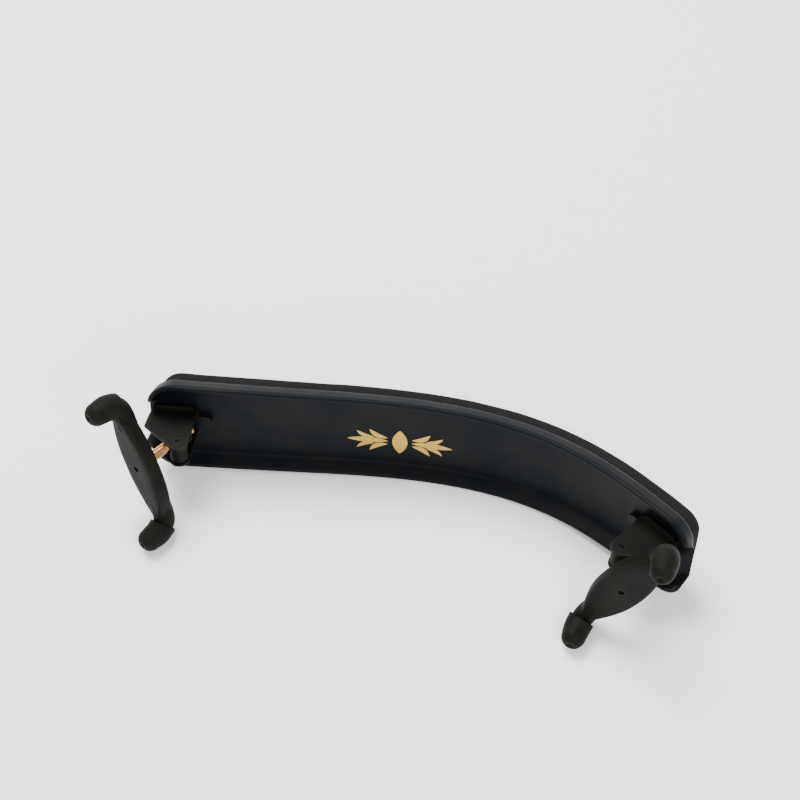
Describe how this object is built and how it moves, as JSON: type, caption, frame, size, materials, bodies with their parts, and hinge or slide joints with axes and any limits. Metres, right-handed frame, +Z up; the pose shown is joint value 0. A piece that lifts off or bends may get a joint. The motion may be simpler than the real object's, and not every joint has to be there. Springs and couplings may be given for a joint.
{
  "type": "violin shoulder rest",
  "caption": "Bowed moulded tray with a foam pad on its back, and at each end a folding, screw-adjusted foot with a rubber-clawed fork.",
  "frame": {"origin": "centre of the footprint, on the surface that the rest lies on", "axes": "+X along the bow from the chest end to the shoulder end, +Y from the forks towards the foam pad, +Z up, across the tray's width, as the rest lies on its long edge"},
  "size_m": [0.258, 0.094, 0.0725],
  "materials": {
    "tray_plastic": "satin moulded black plastic with a slight blue cast",
    "foot_plastic": "satin moulded charcoal plastic",
    "foam": "fine-celled black foam",
    "rubber": "soft black rubber tube",
    "brass": "bright turned brass",
    "steel": "plain zinc-plated steel"
  },
  "bodies": {
    "tray_and_pad": {"tray": "tray_plastic", "foam_pad": "foam"},
    "left_foot": {"left_slide_base": "foot_plastic", "left_hinge_pin": "steel", "left_slide_shoe": "foot_plastic", "left_shoe_screw": "steel"},
    "left_bracket": {"left_bracket": "foot_plastic", "left_threaded_insert": "brass"},
    "left_screw": {"left_height_screw": "brass"},
    "left_fork": {"left_fork": "foot_plastic", "left_upper_sleeve": "rubber", "left_lower_sleeve": "rubber"},
    "right_foot": {"right_slide_base": "foot_plastic", "right_hinge_pin": "steel", "right_slide_shoe": "foot_plastic", "right_shoe_screw": "steel"},
    "right_bracket": {"right_bracket": "foot_plastic", "right_threaded_insert": "brass"},
    "right_screw": {"right_height_screw": "brass"},
    "right_fork": {"right_fork": "foot_plastic", "right_upper_sleeve": "rubber", "right_lower_sleeve": "rubber"}
  },
  "joints": [
    {"name": "left_width", "type": "slide", "parent": "tray_and_pad", "child": "left_foot", "axis": [0.9741, 0.2233, -0.0368], "range_m": [-0.003, 0.005]},
    {"name": "left_fold", "type": "hinge", "parent": "left_foot", "child": "left_bracket", "pos_m": [-0.0957, -0.00945, 0.03288], "axis": [0, 0.1628, 0.9867], "range_deg": [0, 114]},
    {"name": "left_height", "type": "slide", "parent": "left_bracket", "child": "left_screw", "axis": [-0.4245, -0.8933, 0.1474], "range_m": [-0.0025, 0.0081]},
    {"name": "left_fork_turn", "type": "hinge", "parent": "left_screw", "child": "left_fork", "pos_m": [-0.10059, -0.00719, 0.0325], "axis": [-0.4245, -0.8933, 0.1474], "range_deg": [-1080, 3600]},
    {"name": "right_width", "type": "slide", "parent": "tray_and_pad", "child": "right_foot", "axis": [-0.8706, 0.4854, -0.0801], "range_m": [-0.003, 0.005]},
    {"name": "right_fold", "type": "hinge", "parent": "right_foot", "child": "right_bracket", "pos_m": [0.09957, -0.00445, 0.03205], "axis": [0, -0.1628, -0.9867], "range_deg": [-9, 105]},
    {"name": "right_height", "type": "slide", "parent": "right_bracket", "child": "right_screw", "axis": [-0.0397, -0.9859, 0.1627], "range_m": [-0.0025, 0.0081]},
    {"name": "right_fork_turn", "type": "hinge", "parent": "right_screw", "child": "right_fork", "pos_m": [0.10497, -0.00466, 0.03209], "axis": [-0.0397, -0.9859, 0.1627], "range_deg": [-1080, 3600]}
  ],
  "couplings": [
    {"joint": "left_height", "follows": "left_fork_turn", "m_per_rad": 0.00012732},
    {"joint": "right_height", "follows": "right_fork_turn", "m_per_rad": 0.00012732}
  ]
}
